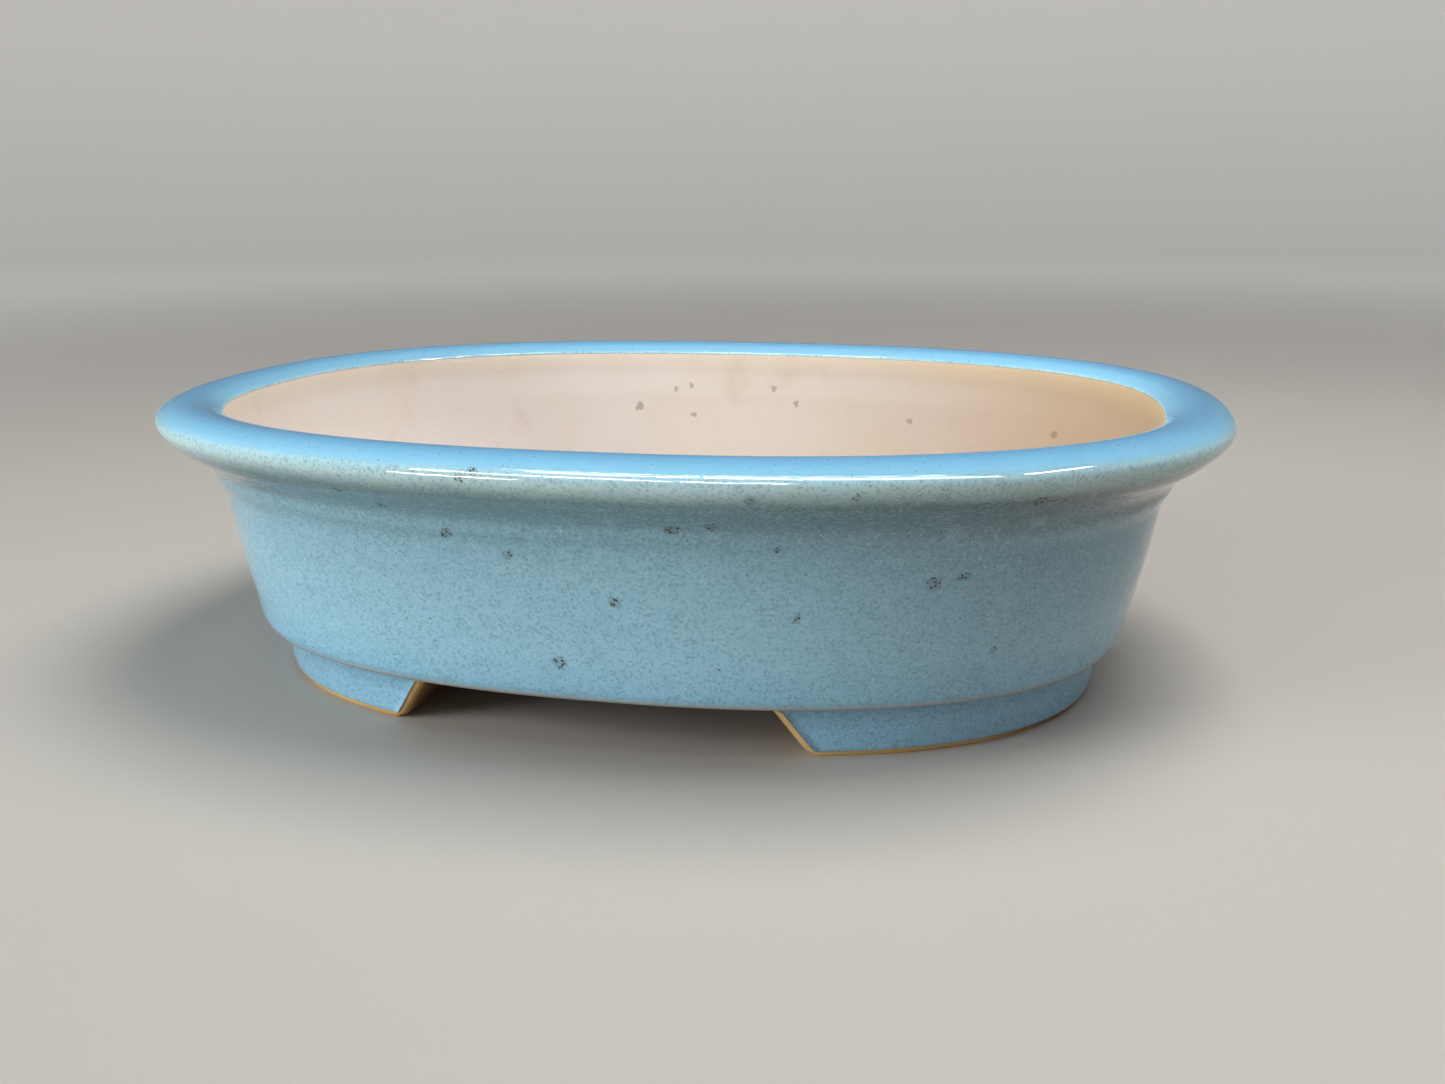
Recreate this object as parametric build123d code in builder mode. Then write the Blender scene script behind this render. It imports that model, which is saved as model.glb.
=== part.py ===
"""Oval bonsai pot with a rolled lip and two wrapped feet, in millimetres.

The pot stands on Z = 0, its long axis lies along X, and the origin is under its
centre. Every plan outline is the lip's outer oval moved inwards, square to the
lip's edge, by an inset. The clay pieces are the floor slab, the wall, the lip
band and two feet. The fired glaze is a thin coat of its own on the outer faces.
"""

from build123d import *

import os
from math import copysign, cos, pi, sin

os.makedirs("parts", exist_ok=True)

# ---- Driving dimensions -------------------------------------------------------
HALF_LENGTH = 135.0        # lip's outer edge, along X
HALF_WIDTH = 103.0         # lip's outer edge, along Y
OVAL_POWER = 2.33          # 2 would be an ellipse, more is squarer
OUTLINE_POINTS = 40        # points of the formula that each outline passes through

POT_HEIGHT = 70.0
FOOT_HEIGHT = 13.1
FLOOR_THICKNESS = 7.5
NECK_HEIGHT = 54.0         # where the wall meets the lip band
FLOOR_TOP = FOOT_HEIGHT + FLOOR_THICKNESS

GLAZE = 0.5                # thickness of the fired glaze

# Insets of the outer and inner faces, from the lip's outer edge
NECK_INSET = 12.6
BOTTOM_INSET = 22.7
INNER_NECK_INSET = 19.2
INNER_FLOOR_INSET = 27.0
RIM_INSET = 16.0           # lip's inner edge
RIM_EDGE_HEIGHT = 67.2
BOTTOM_FILLET = 2.6
BOTTOM_SIDE_GAIN = 4.2     # the long sides stand this much steeper at the bottom

# Feet
FOOT_TOP_INSET = 26.8
FOOT_FACE_INSET = 29.0
FOOT_BEVEL = 0.8           # small bare bevel round the bottom edge
FOOT_INNER_INSET = 54.0
FOOT_SIDE_GAIN = 5.2
GAP_MIDDLE = -3.8          # the opening between the feet is hand-cut, off centre along X
GAP_HALF_BOTTOM = 48.4     # its half length at the table
GAP_HALF_TOP = 39.6        # and under the floor
GAP_TOP_RADIUS = 4.0
GAP_BOTTOM_RADIUS = 3.0
BARE_SHOULDER = 0.6        # the wall's glaze stops this far above the underside
BARE_FOOT_EDGE = 1.2       # the glaze stops this far short of the foot's edges

# Holes in the floor
DRAIN_RADIUS = 11.0
DRAIN_SPACING = 76.0
WIRE_HOLE_RADIUS = 2.5
WIRE_HOLE_SPACING_X = 124.0
WIRE_HOLE_SPACING_Y = 48.0
HOLE_CHAMFER = 0.8

# Lip section from the neck, round the nose and over the crest to the inner edge:
# inset from the lip's outer edge, and height
LIP_SECTION = [
    (NECK_INSET, NECK_HEIGHT),
    (8.9, 56.8),
    (4.4, 59.8),
    (1.1, 63.0),
    (0.0, 65.6),
    (1.2, 67.8),
    (4.3, 69.4),
    (8.2, POT_HEIGHT),
    (12.4, 69.3),
    (RIM_INSET, RIM_EDGE_HEIGHT),
]


# ---- Outlines -----------------------------------------------------------------
def outline(inset, side_gain=0.0):
    """Closed plan outline: the lip's oval moved in by inset, less side_gain on the long sides."""
    points = []
    for step in range(OUTLINE_POINTS):
        angle = 2 * pi * step / OUTLINE_POINTS
        u = copysign(abs(cos(angle)) ** (2 / OVAL_POWER), cos(angle))
        v = copysign(abs(sin(angle)) ** (2 / OVAL_POWER), sin(angle))
        across = copysign(abs(u) ** (OVAL_POWER - 1), u) / HALF_LENGTH
        along = copysign(abs(v) ** (OVAL_POWER - 1), v) / HALF_WIDTH
        normal = Vector(across, along).normalized()
        shift = inset - side_gain * normal.Y**2
        points.append(Vector(HALF_LENGTH * u, HALF_WIDTH * v) - normal * shift)
    return Spline(*points, periodic=True)


def stacked_loft(sections, mode=Mode.ADD):
    """Straight-sided solid through outlines, given as (height, inset, side_gain)."""
    faces = []
    for height, inset, side_gain in sections:
        with BuildSketch(Plane.XY.offset(height)) as section:
            with BuildLine():
                outline(inset, side_gain)
            make_face()
        faces.append(section.sketch.face())
    loft(sections=faces, ruled=True, mode=mode)


def wall_section(height, depth=0.0):
    """The wall's outer face at a height, depth under the glaze's surface."""
    share = (NECK_HEIGHT - height) / (NECK_HEIGHT - FOOT_HEIGHT)
    inset = NECK_INSET + (BOTTOM_INSET - NECK_INSET) * share + depth
    return (height, inset, BOTTOM_SIDE_GAIN * share)


def hollow_section(height):
    """The wall's inner face at a height."""
    share = (NECK_HEIGHT - height) / (NECK_HEIGHT - FLOOR_TOP)
    inset = INNER_NECK_INSET + (INNER_FLOOR_INSET - INNER_NECK_INSET) * share
    return (height, inset, BOTTOM_SIDE_GAIN * share)


def bottom_edge():
    """The outer edge round the underside of the solid being built."""
    return edges().group_by(Axis.Z)[0].sort_by(SortBy.LENGTH)[-1]


# ---- Floor slab ---------------------------------------------------------------
with BuildPart() as slab_blank:
    stacked_loft([wall_section(FOOT_HEIGHT, GLAZE), wall_section(FLOOR_TOP, GLAZE)])
    fillet(bottom_edge(), BOTTOM_FILLET - GLAZE)

with BuildPart() as floor_slab:
    add(slab_blank.part)
    with BuildSketch(Plane.XY.offset(FLOOR_TOP)):
        with GridLocations(DRAIN_SPACING, 0, 2, 1):
            Circle(DRAIN_RADIUS)
        with GridLocations(WIRE_HOLE_SPACING_X, WIRE_HOLE_SPACING_Y, 2, 2):
            Circle(WIRE_HOLE_RADIUS)
    extrude(amount=-FLOOR_THICKNESS, mode=Mode.SUBTRACT)
    chamfer(edges().filter_by(GeomType.CIRCLE), HOLE_CHAMFER)
floor_slab.part.label = "floor_slab"

# ---- Body wall ----------------------------------------------------------------
with BuildPart() as body_wall:
    stacked_loft([wall_section(FLOOR_TOP, GLAZE), wall_section(NECK_HEIGHT, GLAZE)])
    stacked_loft([hollow_section(FLOOR_TOP), hollow_section(NECK_HEIGHT)], Mode.SUBTRACT)
body_wall.part.label = "body_wall"

# ---- Lip band and its glaze ---------------------------------------------------
with BuildLine() as lip_path:
    outline(0)

section_plane = Plane(origin=(HALF_LENGTH, 0, 0), x_dir=(-1, 0, 0), z_dir=(0, 1, 0))

with BuildLine() as lip_outside:
    Spline(*LIP_SECTION, tangents=[(-1.1, 1.6), (0.4, -1.6)])


def under_glaze(share):
    """Point of the lip's clay surface, square under the glaze's surface."""
    edge = lip_outside.line.edge()
    tangent = edge % share
    return (edge @ share) + Vector(tangent.Y, -tangent.X) * GLAZE


CLAY_STEPS = 18
clay_points = [under_glaze(step / CLAY_STEPS) for step in range(CLAY_STEPS + 1)]
clay_points[0] = Vector(NECK_INSET + GLAZE, NECK_HEIGHT)

with BuildPart() as lip_band:
    with BuildSketch(section_plane):
        with BuildLine():
            Spline(*clay_points)
            Polyline(
                clay_points[-1],
                (RIM_INSET, RIM_EDGE_HEIGHT),
                (INNER_NECK_INSET, NECK_HEIGHT),
                clay_points[0],
            )
        make_face()
    sweep(path=lip_path.line)
lip_band.part.label = "lip_band"

with BuildPart() as glaze_lip:
    with BuildSketch(section_plane):
        with BuildLine():
            add(lip_outside.line)
            Line(lip_outside.line @ 1, clay_points[-1])
            Spline(*reversed(clay_points))
            Line(clay_points[0], LIP_SECTION[0])
        make_face()
    sweep(path=lip_path.line)
glaze_lip.part.label = "glaze_lip"

# ---- Glaze on the wall and the floor slab's edge -------------------------------
with BuildPart() as glaze_wall:
    stacked_loft([wall_section(FOOT_HEIGHT), wall_section(NECK_HEIGHT)])
    fillet(bottom_edge(), BOTTOM_FILLET)
    add(slab_blank.part, mode=Mode.SUBTRACT)
    stacked_loft([wall_section(FLOOR_TOP, GLAZE), wall_section(NECK_HEIGHT, GLAZE)], Mode.SUBTRACT)
    with BuildSketch(Plane.XY.offset(FOOT_HEIGHT)):
        Rectangle(2 * HALF_LENGTH, 2 * HALF_WIDTH)
    extrude(amount=BARE_SHOULDER, mode=Mode.SUBTRACT)
glaze_wall.part.label = "glaze_wall"


# ---- Feet ---------------------------------------------------------------------
def gap_cut(side, clearance=0.0):
    """Cuts away all that lies past one foot's slanted ends; side is 1 for +X and -1 for -X."""
    foot_end = GAP_MIDDLE + side * (GAP_HALF_BOTTOM + clearance)
    foot_top = GAP_MIDDLE + side * (GAP_HALF_TOP + clearance)
    far = side * HALF_LENGTH
    with BuildSketch(Plane.XZ) as gap:
        with BuildLine():
            Polyline(
                (far, -FOOT_HEIGHT),
                (far, 0),
                (foot_end, 0),
                (foot_top, FOOT_HEIGHT),
                (-far, FOOT_HEIGHT),
                (-far, -FOOT_HEIGHT),
                close=True,
            )
        make_face()
        fillet(gap.vertices().sort_by_distance((foot_top, FOOT_HEIGHT))[0], GAP_TOP_RADIUS)
        fillet(gap.vertices().sort_by_distance((foot_end, 0))[0], GAP_BOTTOM_RADIUS)
    extrude(gap.sketch, amount=HALF_WIDTH, both=True, mode=Mode.SUBTRACT)


def foot_sections(depth=0.0):
    """Outer face of a foot from its bevelled bottom edge up to the floor slab."""
    return [
        (0, FOOT_FACE_INSET + FOOT_BEVEL, FOOT_SIDE_GAIN),
        (FOOT_BEVEL, FOOT_FACE_INSET + depth, FOOT_SIDE_GAIN),
        (FOOT_HEIGHT, FOOT_TOP_INSET + depth, FOOT_SIDE_GAIN),
    ]


def foot_clay(side):
    """One C-shaped foot, wrapped under an end of the pot."""
    stacked_loft(foot_sections(GLAZE))
    inner_face = (FOOT_INNER_INSET, FOOT_SIDE_GAIN)
    stacked_loft([(0, *inner_face), (FOOT_HEIGHT, *inner_face)], Mode.SUBTRACT)
    gap_cut(side)


def foot_glaze(side):
    """The glaze on a foot's outer face, short of its bottom edge and its ends."""
    stacked_loft(foot_sections()[1:])
    stacked_loft(foot_sections(GLAZE)[1:], Mode.SUBTRACT)
    with BuildSketch() as bare_edge:
        Rectangle(2 * HALF_LENGTH, 2 * HALF_WIDTH)
    extrude(bare_edge.sketch, amount=BARE_FOOT_EDGE, mode=Mode.SUBTRACT)
    gap_cut(side, BARE_FOOT_EDGE)


with BuildPart() as foot_right:
    foot_clay(1)
foot_right.part.label = "foot_right"

with BuildPart() as foot_left:
    foot_clay(-1)
foot_left.part.label = "foot_left"

with BuildPart() as glaze_foot_right:
    foot_glaze(1)
glaze_foot_right.part.label = "glaze_foot_right"

with BuildPart() as glaze_foot_left:
    foot_glaze(-1)
glaze_foot_left.part.label = "glaze_foot_left"

# ---- Export -------------------------------------------------------------------
export_step(floor_slab.part, "parts/floor_slab.step")
export_step(body_wall.part, "parts/body_wall.step")
export_step(lip_band.part, "parts/lip_band.step")
export_step(foot_left.part, "parts/foot_left.step")
export_step(foot_right.part, "parts/foot_right.step")
export_step(glaze_lip.part, "parts/glaze_lip.step")
export_step(glaze_wall.part, "parts/glaze_wall.step")
export_step(glaze_foot_left.part, "parts/glaze_foot_left.step")
export_step(glaze_foot_right.part, "parts/glaze_foot_right.step")
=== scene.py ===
"""Looks of an oval bonsai pot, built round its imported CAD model.

Every plan outline is the lip's outer oval moved inwards, square to the lip's
edge, by an inset. Heights and insets are in metres, and the main ones are read
from the CAD boxes.
"""

import math
import random

import bpy
import numpy as np
from mathutils import Matrix, Vector


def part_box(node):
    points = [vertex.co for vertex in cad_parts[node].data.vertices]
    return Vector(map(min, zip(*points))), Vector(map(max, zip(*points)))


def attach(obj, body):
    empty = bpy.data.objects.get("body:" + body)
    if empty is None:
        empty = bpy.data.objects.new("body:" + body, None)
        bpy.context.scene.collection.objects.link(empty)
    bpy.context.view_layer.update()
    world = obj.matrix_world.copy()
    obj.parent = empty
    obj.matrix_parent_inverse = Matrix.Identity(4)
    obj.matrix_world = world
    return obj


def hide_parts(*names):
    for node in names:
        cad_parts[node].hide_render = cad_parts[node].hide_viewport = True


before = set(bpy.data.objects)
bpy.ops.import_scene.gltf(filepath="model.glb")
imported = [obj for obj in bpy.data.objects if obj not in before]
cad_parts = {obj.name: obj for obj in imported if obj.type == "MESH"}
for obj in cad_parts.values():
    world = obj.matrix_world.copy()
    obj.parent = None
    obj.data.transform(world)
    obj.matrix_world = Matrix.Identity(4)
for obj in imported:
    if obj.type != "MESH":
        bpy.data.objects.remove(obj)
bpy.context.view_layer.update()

MM = 0.001
GLAZE = 0.5 * MM
OVAL_POWER = 2.33

# ---- Sizes from the frame -----------------------------------------------------
lip_low, lip_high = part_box("glaze_lip")
wall_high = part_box("glaze_wall")[1]
slab_low, slab_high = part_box("floor_slab")
left_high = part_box("foot_left")[1]
right_low, right_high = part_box("foot_right")

HALF_LENGTH = lip_high[0]
HALF_WIDTH = lip_high[1]
TOP = lip_high[2]
NECK = lip_low[2]
UNDERSIDE = slab_low[2]
FLOOR = slab_high[2]
NECK_INSET = HALF_LENGTH - wall_high[0]
SLAB_INSET = HALF_LENGTH - slab_high[0] - GLAZE
SLAB_SIDE_GAIN = SLAB_INSET - (HALF_WIDTH - slab_high[1] - GLAZE)
SLOPE = (SLAB_INSET - NECK_INSET) / (NECK - FLOOR)
SIDE_SLOPE = SLAB_SIDE_GAIN / (NECK - FLOOR)
FOOT_TOP_INSET = HALF_LENGTH - right_high[0] - GLAZE
FOOT_SIDE_GAIN = FOOT_TOP_INSET - (HALF_WIDTH - right_high[1] - GLAZE)
FOOT_TAPER = 2.2 * MM
FOOT_DEPTH = 27.2 * MM
FOOT_START = {1: right_low[0] + 1.0 * MM, -1: -left_high[0] + 1.0 * MM}
GAP_SLANT = 8.8 * MM


# ---- Outline and profile geometry ----------------------------------------------
def oval(angle):
    """Point on the lip's outer oval and its outward normal there."""
    c, s = math.cos(angle), math.sin(angle)
    u = math.copysign(abs(c) ** (2 / OVAL_POWER), c)
    v = math.copysign(abs(s) ** (2 / OVAL_POWER), s)
    nx = math.copysign(abs(u) ** (OVAL_POWER - 1), u) / HALF_LENGTH
    ny = math.copysign(abs(v) ** (OVAL_POWER - 1), v) / HALF_WIDTH
    size = math.hypot(nx, ny)
    return HALF_LENGTH * u, HALF_WIDTH * v, nx / size, ny / size


def even_angles(count):
    """Angles that place count points at even steps along the oval, the first at +X."""
    dense = np.linspace(0, 2 * math.pi, 8001)
    xy = np.array([oval(a)[:2] for a in dense])
    run = np.concatenate([[0], np.cumsum(np.hypot(*np.diff(xy, axis=0).T))])
    return np.interp(np.arange(count) * run[-1] / count, run, dense)


def smooth(points, steps):
    """Catmull-Rom curve through points, steps per stretch."""
    p = [np.array(q, float) for q in points]
    p = [2 * p[0] - p[1]] + p + [2 * p[-1] - p[-2]]
    out = []
    for a, b, c, d in zip(p, p[1:], p[2:], p[3:]):
        for k in range(steps):
            t = k / steps
            square = (2 * a - 5 * b + 4 * c - d) * t**2
            cube = (3 * b - a - 3 * c + d) * t**3
            out.append(0.5 * (2 * b + (c - a) * t + square + cube))
    out.append(p[-2])
    return np.array(out)


def square_under(curve, depth):
    """The curve moved depth to its right-hand side; depth is a number or one per point."""
    along = np.gradient(curve, axis=0)
    along /= np.linalg.norm(along, axis=1)[:, None]
    return curve + np.stack([along[:, 1], -along[:, 0]], axis=1) * np.reshape(depth, (-1, 1))


def unevenness(angle, height):
    """Hand-made waver of the surface, from 0 to 1, slow along the oval and with height."""
    a = math.sin(2 * angle + 0.6) + 0.7 * math.sin(3 * angle + 2.1) + 0.5 * math.sin(5 * angle + 0.4)
    b = math.sin(4 * angle + 55 * height) + 0.6 * math.sin(7 * angle - 80 * height + 1.0)
    return 0.5 + 0.14 * a + 0.1 * b


def side_gain(height):
    """How much steeper the wall stands on the long sides, at a height."""
    return SIDE_SLOPE * max(0.0, NECK - height)


def mesh_object(name, vertices, faces, material):
    """A smooth-shaded mesh with one material, linked to the scene."""
    mesh = bpy.data.meshes.new(name)
    mesh.from_pydata([tuple(v) for v in vertices], [], faces)
    mesh.validate()
    mesh.materials.append(material)
    piece = bpy.data.objects.new(name, mesh)
    bpy.context.scene.collection.objects.link(piece)
    for polygon in mesh.polygons:
        polygon.use_smooth = True
    return piece


RING_STEPS = 320
WAVER = 0.35 * MM
WAVER_RISE = 8 * MM        # the waver grows from nothing over this height


def ring(name, profile, material):
    """Closed band: a closed (inset, height) profile carried round the oval."""
    vertices, faces = [], []
    for angle in even_angles(RING_STEPS):
        x, y, nx, ny = oval(angle)
        for inset, height in profile:
            grown = min(1.0, max(0.0, height - UNDERSIDE) / WAVER_RISE)
            shift = inset - side_gain(height) * ny**2 + grown * WAVER * unevenness(angle, height)
            vertices.append((x - nx * shift, y - ny * shift, height))
    count = len(profile)
    for i in range(RING_STEPS):
        here, ahead = i * count, ((i + 1) % RING_STEPS) * count
        for j in range(count):
            beside = (j + 1) % count
            faces.append((here + j, ahead + j, ahead + beside, here + beside))
    return mesh_object(name, vertices, faces, material)


# ---- Profiles -------------------------------------------------------------------
HOLLOW_DEPTH = 0.8 * MM
HOLLOW_DROP = 7 * MM       # its middle is this far below the neck
HOLLOW_REACH = 9 * MM


def wall_inset(height):
    """Glaze surface of the wall, a little hollow under the lip."""
    hollow = HOLLOW_DEPTH * math.exp(-(((height - NECK + HOLLOW_DROP) / HOLLOW_REACH) ** 2))
    return NECK_INSET + SLOPE * (NECK - height) + hollow


SHOULDER = 2.1 * MM
RIM_INSET = 16.0 * MM
RIM_EDGE = TOP - 2.8 * MM
INNER_NECK_INSET = 19.2 * MM
INNER_SLOPE = 0.235
CORNER = 7.0 * MM
OUTSIDE_STEPS = 5
INSIDE_STEPS = 4
EDGE_GLAZE = 0.12          # square of the glaze's share of its full thickness at the rim's edge
THINNING_REACH = 1.6 * MM

shoulder_curve = [
    (wall_inset(UNDERSIDE) + SHOULDER * (1 - math.cos(t)), UNDERSIDE + SHOULDER * (1 - math.sin(t)))
    for t in np.radians([84, 68, 50, 32, 15])
]
wall_curve = [(wall_inset(h), h) for h in np.linspace(UNDERSIDE + 3.0 * MM, NECK - 6.0 * MM, 9)]
lip_curve = [
    (NECK_INSET + 0.45 * MM, NECK - 2.8 * MM),
    (NECK_INSET - 0.7 * MM, NECK - 0.2 * MM),
    (10.1 * MM, NECK + 1.8 * MM),
    (7.6 * MM, NECK + 3.6 * MM),
    (4.4 * MM, NECK + 5.8 * MM),
    (1.15 * MM, NECK + 9.0 * MM),
    (0.05 * MM, NECK + 11.6 * MM),
    (1.25 * MM, TOP - 2.2 * MM),
    (4.3 * MM, TOP - 0.65 * MM),
    (8.2 * MM, TOP - 0.03 * MM),
    (12.4 * MM, TOP - 0.75 * MM),
    (RIM_INSET - 0.6 * MM, RIM_EDGE + 0.5 * MM),
    (RIM_INSET + 0.05 * MM, RIM_EDGE - 0.35 * MM),
]
outside = smooth(shoulder_curve + wall_curve + lip_curve, OUTSIDE_STEPS)

# The glaze is thinnest at its upper edge and wraps the floor slab's shoulder at its lower one
reach = np.concatenate([[0], np.cumsum(np.linalg.norm(np.diff(outside, axis=0), axis=1))])
from_edge = reach[-1] - reach
glaze_depth = GLAZE * np.clip(EDGE_GLAZE + from_edge / THINNING_REACH, 0, 1) ** 0.5
clay_outside = square_under(outside, glaze_depth)

inside_wall = [
    (INNER_NECK_INSET + INNER_SLOPE * (NECK - h), h)
    for h in np.linspace(NECK + 6 * MM, FLOOR + 9 * MM, 7)
]
corner_inset = INNER_NECK_INSET + INNER_SLOPE * (NECK - FLOOR)
corner_curve = [
    (corner_inset + CORNER * (1 - math.cos(t)) - 0.9 * MM, FLOOR + CORNER * (1 - math.sin(t)))
    for t in np.radians([22, 44, 66, 84])
]
inside = smooth(
    [
        (RIM_INSET + 0.15 * MM, RIM_EDGE - 0.6 * MM),
        (RIM_INSET + 0.7 * MM, RIM_EDGE - 1.9 * MM),
        (RIM_INSET + 1.3 * MM, RIM_EDGE - 4.2 * MM),
    ]
    + inside_wall
    + corner_curve
    + [(corner_inset + CORNER, FLOOR - 0.15 * MM)],
    INSIDE_STEPS,
)


# ---- Node helpers ----------------------------------------------------------------
class Nodes:
    """Short ways to write shader nodes of one material."""

    def __init__(self, name):
        self.material = bpy.data.materials.new(name)
        self.material.use_nodes = True
        self.tree = self.material.node_tree
        self.shader = self.tree.nodes["Principled BSDF"]
        self.place = self.add("ShaderNodeTexCoord").outputs["Object"]

    def add(self, kind, **settings):
        """A new node of a kind, with these properties."""
        made = self.tree.nodes.new(kind)
        for key, value in settings.items():
            setattr(made, key, value)
        return made

    def feed(self, socket, value):
        """Gives an input another node's output, or a plain value."""
        if hasattr(value, "links"):
            self.tree.links.new(value, socket)
        else:
            socket.default_value = value

    def noise(self, scale, detail, rough=0.55):
        made = self.add("ShaderNodeTexNoise")
        self.feed(made.inputs["Vector"], self.place)
        made.inputs["Scale"].default_value = scale
        made.inputs["Detail"].default_value = detail
        made.inputs["Roughness"].default_value = rough
        return made.outputs["Fac"]

    def cells(self, scale):
        made = self.add("ShaderNodeTexVoronoi")
        self.feed(made.inputs["Vector"], self.place)
        made.inputs["Scale"].default_value = scale
        return made

    def math(self, operation, a, b=0.0):
        made = self.add("ShaderNodeMath", operation=operation)
        self.feed(made.inputs[0], a)
        self.feed(made.inputs[1], b)
        return made.outputs[0]

    def between(self, value, low, high, out_low=0.0, out_high=1.0):
        """Value rescaled from low..high to out_low..out_high, smoothly and clamped."""
        made = self.add("ShaderNodeMapRange", interpolation_type="SMOOTHSTEP")
        self.feed(made.inputs["Value"], value)
        limits = {"From Min": low, "From Max": high, "To Min": out_low, "To Max": out_high}
        for name, number in limits.items():
            made.inputs[name].default_value = number
        return made.outputs["Result"]

    def blend(self, share, a, b):
        """Colour a, changed towards b by a share; 6, 7 and 2 are the node's colour sockets."""
        made = self.add("ShaderNodeMix", data_type="RGBA")
        self.feed(made.inputs[0], share)
        self.feed(made.inputs[6], a)
        self.feed(made.inputs[7], b)
        return made.outputs[2]

    def ramp(self, value, stops):
        """Colours along a value, given as (position, colour) in rising order."""
        made = self.add("ShaderNodeValToRGB")
        self.feed(made.inputs[0], value)
        elements = made.color_ramp.elements
        while len(elements) < len(stops):
            elements.new(0.5)
        for element, (position, colour) in zip(elements, stops):
            element.position = position
            element.color = colour
        return made.outputs[0]

    def axis(self, vector, index):
        """One component of a vector or a colour."""
        made = self.add("ShaderNodeSeparateXYZ")
        self.feed(made.inputs[0], vector)
        return made.outputs[index]

    def spot(self, centre, radius, ragged):
        """1 inside an uneven blot round a point, 0 outside."""
        made = self.add("ShaderNodeVectorMath", operation="DISTANCE")
        self.feed(made.inputs[0], self.place)
        made.inputs[1].default_value = centre
        distance = self.math("ADD", made.outputs["Value"], ragged)
        return self.between(distance, radius * 0.75, radius * 1.15, 1.0, 0.0)

    def bump(self, height, distance, strength=1.0, under=None):
        made = self.add("ShaderNodeBump")
        made.inputs["Distance"].default_value = distance
        made.inputs["Strength"].default_value = strength
        self.feed(made.inputs["Height"], height)
        if under is not None:
            self.feed(made.inputs["Normal"], under)
        return made.outputs["Normal"]


def srgb(red, green, blue):
    """Scene-linear colour of an 8-bit display colour."""
    out = []
    for channel in (red, green, blue):
        c = channel / 255
        out.append(c / 12.92 if c <= 0.04045 else ((c + 0.055) / 1.055) ** 2.4)
    return (*out, 1.0)


# ---- Marks on the surface -----------------------------------------------------------
def surface_point(x, height, inset, side):
    """Point of the face at an inset that has this x, on the side of Y given by 1 or -1."""
    low, high = 0.0, math.pi
    for _ in range(40):
        angle = (low + high) / 2
        px, py, nx, ny = oval(angle)
        shift = inset - side_gain(height) * ny**2
        if px - nx * shift > x:
            low = angle
        else:
            high = angle
    return (px - nx * shift, side * (py - ny * shift), height)


def outside_inset(height):
    """Inset of the glaze surface at a height, up to the lip's crest."""
    crest = int(np.argmax(outside[:, 1]))
    return float(np.interp(height, outside[:crest, 1], outside[:crest, 0]))


def inside_inset(height):
    """Inset of the clay's inner face at a height."""
    return float(np.interp(height, inside[::-1, 1], inside[::-1, 0]))


def scattered_marks(seed, count, reach, heights, radii):
    """Iron spots and pits as (x, height, radius), drawn from a fixed seed between the given limits."""
    draw = random.Random(seed)
    return [(draw.uniform(*reach), draw.uniform(*heights), draw.uniform(*radii)) for _ in range(count)]


# The front has more of them to the right of the middle, the inside has a few high up at the back
FRONT_MARKS = scattered_marks(
    3, 18, (-0.40 * HALF_LENGTH, 0.75 * HALF_LENGTH), (0.30 * TOP, 0.96 * TOP), (0.6 * MM, 1.5 * MM)
)
INSIDE_MARKS = scattered_marks(
    8, 8, (-0.40 * HALF_LENGTH, 0.70 * HALF_LENGTH), (0.68 * TOP, 0.82 * TOP), (0.8 * MM, 1.4 * MM)
)


# ---- Glaze -----------------------------------------------------------------------
def glaze_marks(n):
    """Brown pits and blots: a fixed scatter of larger ones on the front, and rare ones all over."""
    ragged = n.math("MULTIPLY", n.math("SUBTRACT", n.noise(650, 4, 0.7), 0.5), 3.0 * MM)
    total = 0.0
    for x, height, radius in FRONT_MARKS:
        centre = surface_point(x, height, outside_inset(height), -1)
        total = n.math("MAXIMUM", total, n.spot(centre, 1.15 * radius, ragged))
    grains = n.cells(1500.0)
    kept = n.math("GREATER_THAN", n.axis(grains.outputs["Color"], 0), 0.4)
    grain_dots = n.math("MULTIPLY", n.between(grains.outputs["Distance"], 0.55, 0.35), kept)
    total = n.math("MULTIPLY", total, n.between(grain_dots, 0.0, 1.0, 0.25, 1.0))
    pits = n.cells(110.0)
    chosen = n.between(n.axis(pits.outputs["Color"], 0), 0.86, 0.87)
    size = n.math("MULTIPLY", n.axis(pits.outputs["Color"], 1), 0.05)
    inside_pit = n.math("LESS_THAN", pits.outputs["Distance"], size)
    scattered = n.math("MULTIPLY", n.math("MULTIPLY", chosen, inside_pit), 0.7)
    return n.math("MAXIMUM", total, scattered)


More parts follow.
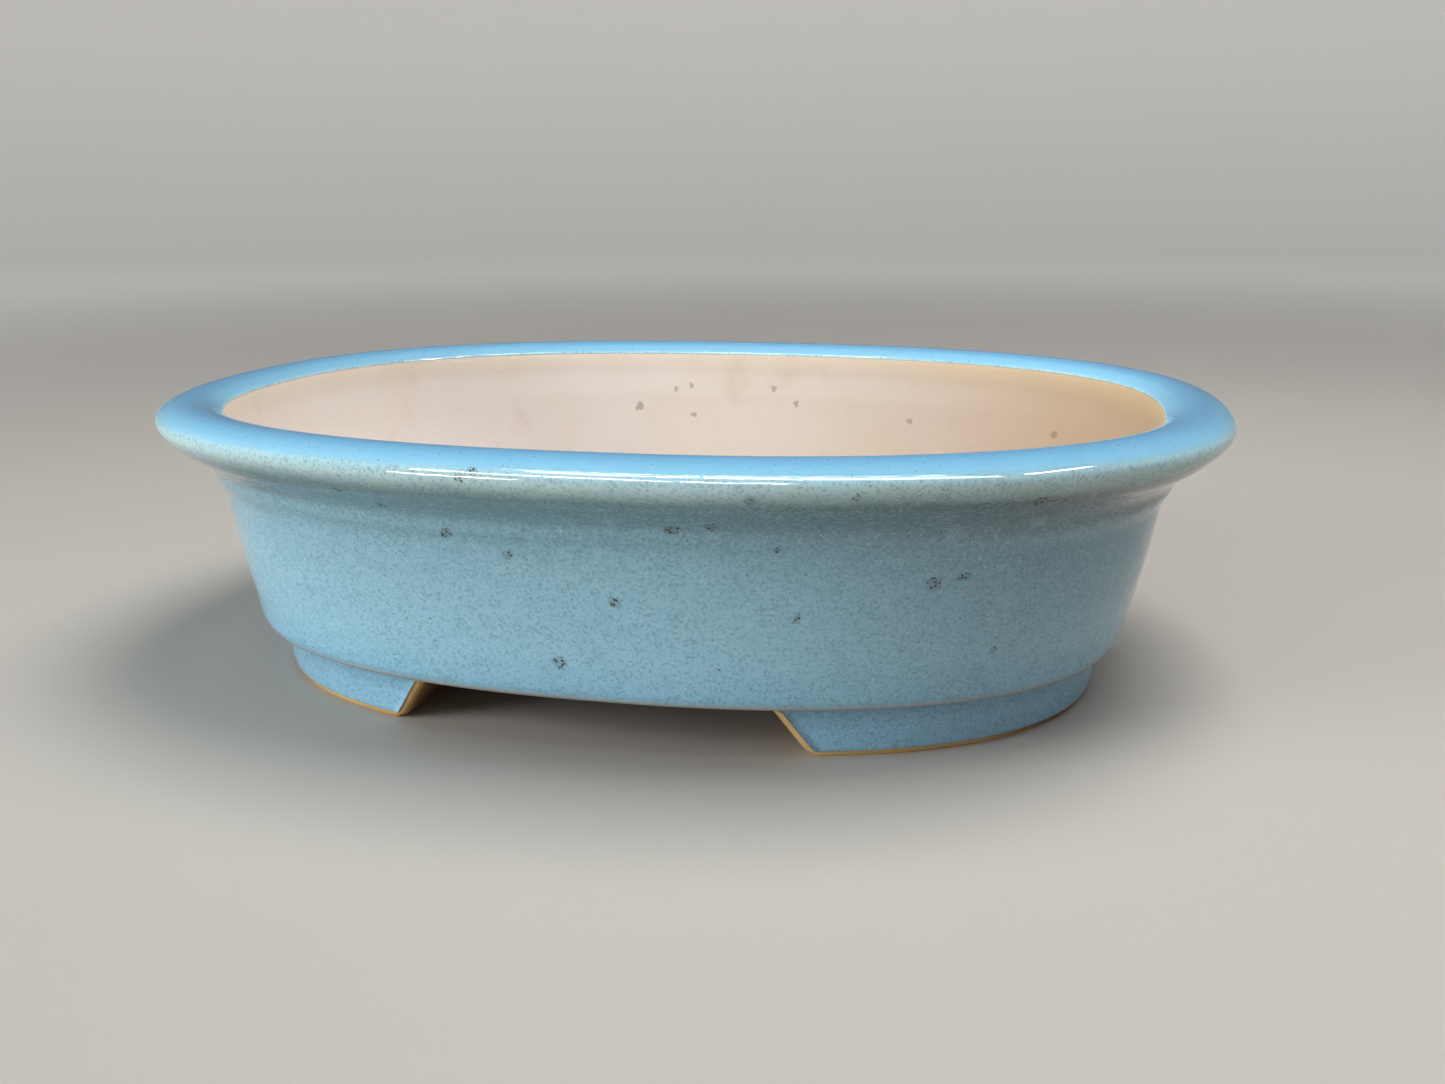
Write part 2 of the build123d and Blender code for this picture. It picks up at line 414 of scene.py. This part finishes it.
def make_glaze(name):
    """Glossy blue glaze, coloured by height and with marks."""
    n = Nodes(name)
    height = n.axis(n.place, 2)
    facing_up = n.axis(n.add("ShaderNodeNewGeometry").outputs["Normal"], 2)

    # Colour by height: painted shadow on the tops of the feet under the body, the wall darkening
    # upwards into painted shade in the neck under the lip, a painted reflection of a warm floor on the
    # lip's underside, and a painted sheen pale along its roll
    drift = n.math("MULTIPLY", n.math("SUBTRACT", n.noise(30, 2), 0.5), 2.2 * MM)
    level = n.math("DIVIDE", n.math("ADD", height, drift), TOP)
    colour = n.ramp(
        level,
        [
            (0.00, srgb(158, 212, 242)),
            (0.10, srgb(152, 206, 236)),
            (0.15, srgb(130, 180, 206)),
            (0.19, srgb(104, 148, 172)),
            (0.205, srgb(140, 194, 220)),
            (0.34, srgb(152, 202, 222)),
            (0.55, srgb(142, 188, 206)),
            (0.74, srgb(122, 164, 180)),
            (0.81, srgb(111, 145, 156)),
            (0.87, srgb(108, 138, 142)),
            (0.90, srgb(152, 180, 180)),
            (0.93, srgb(186, 218, 220)),
            (0.955, srgb(190, 230, 240)),
            (0.985, srgb(120, 196, 236)),
        ],
    )
    # Painted sheen: the lip's top turns paler where it curves down towards the roll, deepest blue where
    # it faces straight up
    top_side = n.between(facing_up, 0.45, 0.75)
    top_colour = n.ramp(
        facing_up,
        [
            (0.50, srgb(166, 220, 238)),
            (0.80, srgb(148, 208, 236)),
            (0.93, srgb(132, 196, 230)),
            (1.00, srgb(114, 177, 218)),
        ],
    )
    colour = n.blend(top_side, colour, top_colour)

    # Painted shade: the left foot is a little darker
    left_foot_shade = n.between(n.axis(n.place, 0), -0.1 * HALF_LENGTH, -0.8 * HALF_LENGTH)
    on_foot = n.between(height, UNDERSIDE + 0.5 * MM, UNDERSIDE, 0.0, 0.3)
    left_foot_shade = n.math("MULTIPLY", left_foot_shade, on_foot)
    colour = n.blend(left_foot_shade, colour, srgb(84, 118, 134))

    # Painted shade and a painted reflection of a warm floor at the right end, most of all in the neck
    # under the lip
    right_end = n.between(n.axis(n.place, 0), 0.0, HALF_LENGTH)
    below_top = n.between(top_side, 0.0, 1.0, 1.0, 0.0)
    neck_band = n.math("MULTIPLY", n.between(level, 0.68, 0.79), n.between(level, 0.90, 0.86))
    right_shade_and_reflection = n.math("ADD", n.math("MULTIPLY", neck_band, 0.46), n.between(level, 0.95, 0.90, 0.0, 0.30))
    right_shade_and_reflection = n.math("MULTIPLY", n.math("MULTIPLY", right_end, below_top), right_shade_and_reflection)
    colour = n.blend(right_shade_and_reflection, colour, srgb(88, 76, 79))

    # Soft mottle, a crisp fine grain, and small dark and light specks; all fainter on the lip's top
    plain = n.between(top_side, 0.0, 1.0, 1.0, 0.15)
    for scale, light, dark, share in (
        (240, srgb(158, 196, 212), srgb(100, 136, 148), 0.20),
        (1100, srgb(196, 214, 214), srgb(84, 118, 130), 0.07),
    ):
        mottle = n.noise(scale, 3, 0.65)
        lighter = n.math("MULTIPLY", plain, n.between(mottle, 0.52, 0.72, 0.0, share))
        colour = n.blend(lighter, colour, light)
        darker = n.math("MULTIPLY", plain, n.between(mottle, 0.48, 0.28, 0.0, share))
        colour = n.blend(darker, colour, dark)
    grain = n.axis(n.cells(2000.0).outputs["Color"], 0)
    light_grain = n.math("MULTIPLY", plain, n.between(grain, 0.6, 1.0, 0.0, 0.14))
    colour = n.blend(light_grain, colour, srgb(206, 224, 226))
    dark_grain = n.math("MULTIPLY", plain, n.between(grain, 0.4, 0.0, 0.0, 0.30))
    colour = n.blend(dark_grain, colour, srgb(80, 104, 108))
    specks = n.cells(950.0)
    kind = n.axis(specks.outputs["Color"], 0)
    size = n.between(n.axis(specks.outputs["Color"], 1), 0.0, 1.0, 0.06, 0.24)
    dots = n.math("LESS_THAN", specks.outputs["Distance"], size)
    dark_dots = n.math("MULTIPLY", dots, n.between(kind, 0.72, 0.74, 0.0, 0.45))
    light_dots = n.math("MULTIPLY", dots, n.between(kind, 0.04, 0.03, 0.0, 0.35))
    colour = n.blend(dark_dots, colour, srgb(70, 78, 66))
    colour = n.blend(light_dots, colour, srgb(226, 236, 234))

    # Thin glaze shows tan where it breaks over the shoulder
    ragged = n.math("MULTIPLY", n.math("SUBTRACT", n.noise(900, 3), 0.5), 1.2 * MM)
    low = n.math("ADD", height, ragged)
    shoulder_high = n.between(low, UNDERSIDE + 2.1 * MM, UNDERSIDE + 0.7 * MM)
    shoulder_low = n.between(low, UNDERSIDE - 0.8 * MM, UNDERSIDE - 0.2 * MM)
    breaking = n.math("MULTIPLY", shoulder_high, shoulder_low)
    colour = n.blend(n.math("MULTIPLY", breaking, 0.7), colour, srgb(160, 150, 134))

    marks = glaze_marks(n)
    colour = n.blend(n.math("MULTIPLY", marks, 0.95), colour, srgb(66, 52, 36))

    n.feed(n.shader.inputs["Base Color"], colour)
    n.shader.inputs["Roughness"].default_value = 0.25
    n.shader.inputs["Specular IOR Level"].default_value = 0.0
    n.shader.inputs["IOR"].default_value = 1.5
    n.shader.inputs["Coat Weight"].default_value = 1.0
    n.shader.inputs["Coat Roughness"].default_value = 0.04
    orange_peel = n.bump(n.noise(170, 2), 0.2 * MM, 0.05)
    pitted = n.bump(n.math("SUBTRACT", 1.0, marks), 0.2 * MM, 0.6, orange_peel)
    n.feed(n.shader.inputs["Normal"], pitted)
    n.feed(n.shader.inputs["Coat Normal"], orange_peel)
    return n.material


# ---- Clay ------------------------------------------------------------------------
def make_clay(name, body, shade, warm, stained_and_shaded=False):
    """Matt clay; for the vessel and the floor slab with stains and painted shade, for the feet plain
    apart from painted shade on their cut ends.
    """
    n = Nodes(name)
    height = n.axis(n.place, 2)
    colour = n.blend(n.between(n.noise(22, 3), 0.35, 0.65), body, shade)
    colour = n.blend(n.between(n.noise(700, 4), 0.55, 0.8, 0.0, 0.3), colour, warm)
    if stained_and_shaded:
        # Painted shade, darker and warmer, towards the rim; warmer towards the right end, and yellow
        # along the rim's edge
        shade_towards_rim = n.between(height, 0.55 * TOP, 0.95 * TOP, 0.0, 0.22)
        colour = n.blend(shade_towards_rim, colour, srgb(190, 170, 150))
        right_end = n.between(n.axis(n.place, 0), -30 * MM, HALF_LENGTH)
        colour = n.blend(n.math("MULTIPLY", right_end, 0.95), colour, srgb(188, 160, 126))
        clouds = n.between(n.noise(28, 4, 0.6), 0.54, 0.74, 0.0, 0.35)
        colour = n.blend(clouds, colour, srgb(200, 174, 144))
        uneven = n.math("ADD", height, n.math("MULTIPLY", n.noise(60, 3), 4 * MM))
        edge_band = n.between(uneven, RIM_EDGE - 6 * MM, RIM_EDGE + 3 * MM, 0.0, 0.6)
        edge_band = n.math("MULTIPLY", edge_band, n.between(right_end, 0.0, 1.0, 0.7, 1.0))
        colour = n.blend(edge_band, colour, srgb(214, 188, 142))
        ragged = n.math("MULTIPLY", n.math("SUBTRACT", n.noise(900, 3), 0.5), 3.0 * MM)
        marks = 0.0
        for x, level, radius in INSIDE_MARKS:
            centre = surface_point(x, level, inside_inset(level), 1)
            marks = n.math("MAXIMUM", marks, n.spot(centre, radius, ragged))
        colour = n.blend(n.math("MULTIPLY", marks, 0.55), colour, srgb(140, 124, 92))
        # Painted shade: faces turned downwards, such as the underside, are darkened
        facing = n.axis(n.add("ShaderNodeNewGeometry").outputs["Normal"], 2)
        colour = n.blend(n.between(facing, -0.3, -0.7, 0.0, 0.85), colour, srgb(84, 66, 48))
    else:
        # Painted shade: the cut ends of the feet are darker than their faces
        facing_end = n.math("ABSOLUTE", n.axis(n.add("ShaderNodeNewGeometry").outputs["Normal"], 0))
        colour = n.blend(n.between(facing_end, 0.50, 0.78, 0.0, 0.8), colour, srgb(96, 62, 28))
    n.feed(n.shader.inputs["Base Color"], colour)
    n.feed(n.shader.inputs["Roughness"], n.between(n.noise(300, 3), 0.3, 0.7, 0.62, 0.8))
    n.shader.inputs["Specular IOR Level"].default_value = 0.35
    coarse = n.bump(n.noise(240, 4), 0.25 * MM, 0.5)
    n.feed(n.shader.inputs["Normal"], n.bump(n.noise(1600, 3), 0.12 * MM, 0.5, coarse))
    return n.material


glaze_material = make_glaze("pot_glaze")
inside_clay = make_clay(
    "pot_clay_inside", srgb(238, 229, 225), srgb(235, 225, 213), srgb(226, 208, 188), stained_and_shaded=True
)
foot_clay = make_clay("pot_clay_foot", srgb(214, 178, 116), srgb(202, 160, 94), srgb(222, 190, 136))

# ---- Glaze coat and clay vessel ----------------------------------------------------
glaze_coat = ring("glaze_coat", np.vstack([outside, clay_outside[::-1]]), glaze_material)
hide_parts("glaze_lip", "glaze_wall")
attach(glaze_coat, "root")

above_floor = clay_outside[clay_outside[:, 1] > FLOOR + 0.05 * MM]
clay_profile = np.vstack([[(above_floor[0][0], FLOOR)], above_floor, inside])
clay_vessel = ring("clay_vessel", clay_profile, inside_clay)
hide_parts("body_wall", "lip_band")
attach(clay_vessel, "root")

floor_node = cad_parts["floor_slab"]
floor_node.data.materials.clear()
floor_node.data.materials.append(inside_clay)


# ---- Feet --------------------------------------------------------------------------
FLARE_START = 0.82         # share of the foot's height where its cut end starts to flare


def gap_edge(height, sign):
    """How far out along X a foot's cut end is at a height: slanted, hollow at the top, round below."""
    share = height / UNDERSIDE
    base = FOOT_START[sign] + GAP_SLANT * (1 - share)
    top_flare = 2.3 * MM * max(0.0, (share - FLARE_START) / (1 - FLARE_START)) ** 2
    bottom_round = 1.3 * MM * max(0.0, 1 - height / (2.4 * MM)) ** 2
    return base - top_flare + bottom_round


def foot_angle(inset, distance):
    """Angle of the oval at which the foot's face at an inset is this distance out along X."""
    low, high = 0.0, math.pi / 2
    for _ in range(40):
        angle = (low + high) / 2
        x, _, nx, ny = oval(angle)
        if x - nx * (inset - FOOT_SIDE_GAIN * ny**2) > distance:
            low = angle
        else:
            high = angle
    return low


def foot_face(inset, height, start_x, count):
    """Points along one face of the right foot, from its front end to its back end."""
    end = foot_angle(inset, start_x)
    points = []
    for k in range(count):
        share = k / (count - 1)
        angle = -end + 2 * end * share
        x, y, nx, ny = oval(angle)
        shift = inset - FOOT_SIDE_GAIN * ny**2
        points.append((x - nx * shift, y - ny * shift, height))
    return points


def foot_outer_inset(height):
    """Inset of the glazed outer face of a foot, with a small bevel round its bottom edge."""
    bevel = 0.4 * MM * max(0.0, 1 - height / (0.9 * MM)) ** 2
    return FOOT_TOP_INSET + FOOT_TAPER * (1 - height / UNDERSIDE) + bevel


FOOT_STEPS = 120
FOOT_INNER_INSET = FOOT_TOP_INSET + FOOT_DEPTH
EDGE_ROUND = 1.7 * MM
GLAZE_END_GAP = 3.0 * MM   # the glaze stops this far short of a foot's cut ends

# Levels of a foot's loops in millimetres, closest together at its bottom and top edges
FOOT_LEVELS = [0.0, 0.15, 0.45, 0.9, 1.5, 2.4, 4, 6, 8, 9.6, 10.8, 11.6, 12.3, 12.75, UNDERSIDE / MM]
FOOT_HEIGHTS = [min(level * MM, UNDERSIDE) for level in FOOT_LEVELS]
# Steps across a foot from its outer to its inner face, closest together at the faces
ACROSS_SHARES = [0, 0.012, 0.035, 0.07, 0.3, 0.6, 0.88, 0.97, 1]


def rounded_end(inset, height, sign):
    """Where the cut end is at an inset and a height, rounded over towards the outer face."""
    near_face = max(0.0, 1 - (inset - foot_outer_inset(height) - GLAZE) / (2 * EDGE_ROUND))
    return gap_edge(height, sign) + EDGE_ROUND * near_face**2


def side_faces(around, mirror):
    """Quads along a foot, between loops of around points."""
    faces = []
    for k in range(FOOT_STEPS - 1):
        here, ahead = k * around, (k + 1) * around
        for j in range(around):
            beside = (j + 1) % around
            quad = (here + j, here + beside, ahead + beside, ahead + j)
            faces.append(quad if mirror else quad[::-1])
    return faces


def foot_mesh(name, mirror, material):
    """A thick C-shaped foot: section loops carried from one cut end to the other, ends capped."""
    outer_loop = [(foot_outer_inset(h) + GLAZE, h) for h in FOOT_HEIGHTS]
    bottom, top = outer_loop[0][0], outer_loop[-1][0]
    loops = outer_loop + [(top + (FOOT_INNER_INSET - top) * s, UNDERSIDE) for s in ACROSS_SHARES[1:-1]]
    loops += [(FOOT_INNER_INSET, h) for h in reversed(FOOT_HEIGHTS)]
    loops += [(bottom + (FOOT_INNER_INSET - bottom) * s, 0.0) for s in reversed(ACROSS_SHARES[1:-1])]
    sign = -1 if mirror else 1
    rows = [foot_face(inset, h, rounded_end(inset, h, sign), FOOT_STEPS) for inset, h in loops]
    vertices = [(sign * row[k][0], row[k][1], row[k][2]) for k in range(FOOT_STEPS) for row in rows]
    faces = side_faces(len(rows), mirror)
    # caps: quads between the outer and inner sides, level by level
    for k, flip in ((0, not mirror), (FOOT_STEPS - 1, mirror)):
        grid = cap_grid(vertices, k, len(rows), sign)
        for i in range(len(FOOT_HEIGHTS) - 1):
            for j in range(len(ACROSS_SHARES) - 1):
                quad = (grid[i][j], grid[i][j + 1], grid[i + 1][j + 1], grid[i + 1][j])
                faces.append(quad[::-1] if flip else quad)
    return mesh_object(name, vertices, faces, material)


def cap_grid(vertices, k, around, sign):
    """Vertex numbers of one cut end as a grid of heights by steps across, adding the inner ones."""
    base = k * around
    levels, across = len(FOOT_HEIGHTS), len(ACROSS_SHARES)
    grid = [[None] * across for _ in range(levels)]
    for i in range(levels):
        grid[i][0] = base + i
        grid[i][across - 1] = base + levels + (across - 2) + (levels - 1 - i)
    for j in range(1, across - 1):
        grid[levels - 1][j] = base + levels + j - 1
        grid[0][j] = base + 2 * levels + (across - 2) + (across - 2 - j)
    for i in range(1, levels - 1):
        outer = foot_outer_inset(FOOT_HEIGHTS[i]) + GLAZE
        for j in range(1, across - 1):
            inset = outer + (FOOT_INNER_INSET - outer) * ACROSS_SHARES[j]
            start = rounded_end(inset, FOOT_HEIGHTS[i], sign)
            x, y, z = foot_face(inset, FOOT_HEIGHTS[i], start, 2)[0 if k == 0 else 1]
            grid[i][j] = len(vertices)
            vertices.append((sign * x, y, z))
    return grid


def foot_glaze_mesh(name, mirror, material):
    """Thin glaze on a foot's outer face, short of its bottom edge and cut ends."""
    low, high = 1.3 * MM, UNDERSIDE
    glazed = [low + (high - low) * s for s in (0, 0.02, 0.05, 0.1, 0.2, 0.4, 0.6, 0.8, 0.92, 1)]
    loops = []
    for h in glazed:
        thick = GLAZE * min(1.0, 0.15 + ((h - low) / (1.0 * MM)) ** 0.5)
        loops.append((foot_outer_inset(h) + GLAZE - thick, h))
    loops += [(foot_outer_inset(h) + GLAZE + 0.05 * MM, h) for h in reversed(glazed)]
    sign = -1 if mirror else 1
    rows = [foot_face(inset, h, gap_edge(h, sign) + GLAZE_END_GAP, FOOT_STEPS) for inset, h in loops]
    vertices = [(sign * row[k][0], row[k][1], row[k][2]) for k in range(FOOT_STEPS) for row in rows]
    around = len(rows)
    faces = side_faces(around, mirror)
    for k, flip in ((0, mirror), (FOOT_STEPS - 1, not mirror)):
        first, last = k * around, k * around + around - 1
        for j in range(around // 2 - 1):
            quad = (first + j, first + j + 1, last - j - 1, last - j)
            faces.append(quad if flip else quad[::-1])
    return mesh_object(name, vertices, faces, material)


for side, mirrored in (("left", True), ("right", False)):
    foot = foot_mesh(f"{side}_foot_clay", mirrored, foot_clay)
    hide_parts(f"foot_{side}")
    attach(foot, "root")
    foot_coat = foot_glaze_mesh(f"{side}_foot_glaze", mirrored, glaze_material)
    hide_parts(f"glaze_foot_{side}")
    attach(foot_coat, "root")


# ---- Studio --------------------------------------------------------------------------
FLOOR_REACH = 2.2
WALL_BEND = 0.8            # radius of the curve from the floor up into the wall
WALL_TOP = 4.0
STUDIO_STEPS = 96


def make_studio():
    """Pale round floor, and a pale wall all round it that neither lights the pot nor shades it."""
    n = Nodes("studio_paper")
    colour = n.blend(n.noise(5, 2), srgb(190, 184, 175), srgb(195, 189, 180))
    n.feed(n.shader.inputs["Base Color"], colour)
    n.shader.inputs["Roughness"].default_value = 0.75
    # A faint glow, from a good way off the pot outwards, keeps the far parts as pale as the near ones
    reach_out = n.add("ShaderNodeVectorMath", operation="LENGTH")
    n.feed(reach_out.inputs[0], n.place)
    glow = n.between(reach_out.outputs["Value"], 0.4, 1.7, 0.0, 0.30)
    glow = n.math("ADD", glow, n.between(n.axis(n.place, 2), 0.0, 0.5, 0.0, 0.05))
    n.shader.inputs["Emission Color"].default_value = (1.0, 0.98, 0.95, 1.0)
    n.feed(n.shader.inputs["Emission Strength"], glow)
    n.material.cycles.emission_sampling = "NONE"

    turns = [2 * math.pi * k / STUDIO_STEPS for k in range(STUDIO_STEPS)]
    floor_edge = [(FLOOR_REACH * math.cos(t), FLOOR_REACH * math.sin(t), 0.0) for t in turns]
    floor = mesh_object("studio_floor", floor_edge, [list(range(STUDIO_STEPS))], n.material)
    line = [
        (FLOOR_REACH + WALL_BEND * math.sin(t), WALL_BEND * (1 - math.cos(t)))
        for t in np.radians(np.linspace(0, 90, 16))
    ]
    line.append((FLOOR_REACH + WALL_BEND, WALL_TOP))
    vertices = [(r * math.cos(t), r * math.sin(t), z) for r, z in line for t in turns]
    faces = []
    for row in range(len(line) - 1):
        for k in range(STUDIO_STEPS):
            a, b = row * STUDIO_STEPS + k, row * STUDIO_STEPS + (k + 1) % STUDIO_STEPS
            faces.append((b, a, a + STUDIO_STEPS, b + STUDIO_STEPS))
    wall = mesh_object("studio_wall", vertices, faces, n.material)
    wall.visible_diffuse = wall.visible_glossy = wall.visible_shadow = False
    return floor, wall


for background in make_studio():
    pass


def area_light(name, place, target, size, power, colour=(1, 1, 1), only=None):
    """Rectangular lamp; only="shine" lights reflections alone, only="fill" everything but them."""
    data = bpy.data.lights.new(name, "AREA")
    data.shape = "RECTANGLE"
    data.size, data.size_y = size
    data.energy = power
    data.color = colour
    light = bpy.data.objects.new(name, data)
    light.location = place
    light.rotation_euler = (Vector(target) - Vector(place)).to_track_quat("-Z", "Y").to_euler()
    light.visible_camera = False
    light.visible_diffuse = only != "shine"
    light.visible_glossy = only != "fill"
    bpy.context.scene.collection.objects.link(light)


middle = (0, 0, TOP / 2)
front_lip = (0, -HALF_WIDTH, TOP)
right_lip = (0.7 * HALF_LENGTH, -0.78 * HALF_WIDTH, TOP)
area_light("key_softbox", (-1.40, -0.88, 0.45), middle, (0.9, 0.8), 23.5, (0.94, 0.98, 1.0), "fill")
area_light("fill_softbox", (1.0, -1.4, 0.9), middle, (0.8, 0.8), 0.1)
area_light("top_softbox", (0.25, 0.03, 0.85), middle, (0.6, 0.5), 6.6, only="fill")
area_light("high_tube", (0.30, -0.60, 1.19), (0.3, -HALF_WIDTH, TOP), (1.6, 0.03), 28, only="shine")
area_light("back_tube", (0.03, -0.33, 1.26), front_lip, (1.2, 0.02), 6, only="shine")
area_light("low_tube", (-0.30, -1.10, 0.85), front_lip, (1.2, 0.03), 22, only="shine")
area_light("right_tube", (1.09, -0.18, 1.07), right_lip, (0.5, 0.04), 10, only="shine")
area_light("left_streak", (-0.66, -1.10, 0.05), front_lip, (0.4, 0.04), 14, (1.0, 0.92, 0.80), "shine")

world = bpy.data.worlds.new("studio_world")
world.use_nodes = True
world.node_tree.nodes["Background"].inputs["Color"].default_value = (0.88, 0.92, 1.0, 1)
world.node_tree.nodes["Background"].inputs["Strength"].default_value = 0.16
bpy.context.scene.world = world
bpy.context.scene.view_settings.view_transform = "Standard"

# ---- Camera --------------------------------------------------------------------------
CAMERA_PLACE = (0.0878, -0.3455, 0.1215)
YAW, PITCH, ROLL = 0.225, 0.259, -0.006
camera_data = bpy.data.cameras.new("camera")
camera_data.sensor_width = 36.0
camera_data.lens = 34.1
camera_data.clip_start = 0.01
camera = bpy.data.objects.new("camera", camera_data)
forward = Vector((-math.sin(YAW) * math.cos(PITCH), math.cos(YAW) * math.cos(PITCH), -math.sin(PITCH)))
level_right = Vector((math.cos(YAW), math.sin(YAW), 0))
level_up = level_right.cross(forward)
right = level_right * math.cos(ROLL) + level_up * math.sin(ROLL)
up = level_up * math.cos(ROLL) - level_right * math.sin(ROLL)
turn = Matrix((right, up, -forward)).transposed()
camera.matrix_world = Matrix.Translation(CAMERA_PLACE) @ turn.to_4x4()
bpy.context.scene.collection.objects.link(camera)
bpy.context.scene.camera = camera
